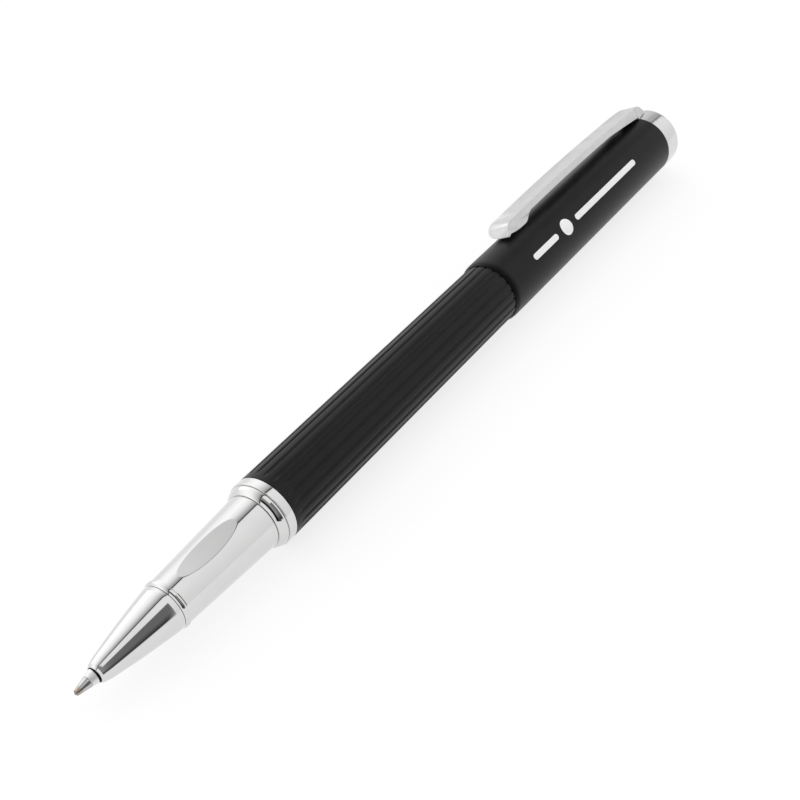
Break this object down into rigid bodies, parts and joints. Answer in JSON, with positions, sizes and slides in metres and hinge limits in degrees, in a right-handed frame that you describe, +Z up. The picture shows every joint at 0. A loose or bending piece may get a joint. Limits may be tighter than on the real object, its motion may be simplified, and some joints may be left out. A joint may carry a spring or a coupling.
{
  "type": "rollerball pen",
  "caption": "Metal rollerball pen, cap posted: tapered chrome nose and grip, fluted black barrel, smooth black cap with a steel clip and end band.",
  "frame": {"origin": "on the surface the pen lies on, under the middle of its length and under the pen's axis", "axes": "+X along the pen from the writing tip to the end of the posted cap, +Z up"},
  "size_m": [0.1586, 0.0118, 0.014],
  "materials": {
    "chrome": "polished chrome plate",
    "satin_steel": "satin",
    "spring_steel": "drawn wire",
    "ball_steel": "polished",
    "nickel_silver": "turned nickel silver",
    "brass": "machined",
    "black_lacquer": "satin black lacquer",
    "black_plastic": "moulded, matte",
    "white_plastic": "moulded, matte",
    "black_rubber": "matte",
    "inked_fibre": "fibre wet with ink"
  },
  "bodies": {
    "barrel": {"barrel_band": "chrome", "barrel_tube": "black_lacquer", "barrel_insert": "brass", "barrel_end_plug": "black_plastic"},
    "refill": {"ball_socket": "nickel_silver", "point_sleeve": "satin_steel", "refill_nose": "black_plastic", "refill_tube": "satin_steel", "ink_reservoir": "inked_fibre", "feed_rod": "inked_fibre", "refill_end_plug": "black_plastic", "refill_spring": "spring_steel"},
    "ball": {"writing_ball": "ball_steel"},
    "section": {"nose_cone": "chrome", "nose_ring": "chrome", "grip_sleeve": "chrome", "section_collar": "chrome", "section_core": "brass", "seal_ring": "black_rubber"},
    "cap": {"cap_tube": "black_lacquer", "inner_cap": "white_plastic", "cap_bush": "brass", "cap_end_band": "chrome", "finial_screw": "satin_steel", "finial_disc": "black_lacquer"},
    "clip": {"clip": "satin_steel"}
  },
  "joints": [
    {"name": "refill_travel", "type": "slide", "parent": "barrel", "child": "refill", "axis": [-1, 0, 0], "range_m": [0, 0.005], "deforming": ["refill_spring"]},
    {"name": "section_turn", "type": "hinge", "parent": "refill", "child": "section", "pos_m": [0, 0, 0.00566], "axis": [-1, 0, 0], "range_deg": [0, 1800]},
    {"name": "ball_roll", "type": "hinge", "parent": "refill", "child": "ball", "pos_m": [-0.07895, 0, 0.00566], "axis": [0, 1, 0], "continuous": true},
    {"name": "cap_pull", "type": "slide", "parent": "barrel", "child": "cap", "axis": [1, 0, 0], "range_m": [0, 0.04]},
    {"name": "clip_flex", "type": "hinge", "parent": "cap", "child": "clip", "pos_m": [0.0767, 0.00255, 0.00996], "axis": [0, 0.8599, -0.5105], "range_deg": [0, 4], "stiffness_Nm_per_rad": 4}
  ],
  "couplings": [
    {"joint": "section_turn", "follows": "refill_travel", "rad_per_m": 6283.2}
  ]
}
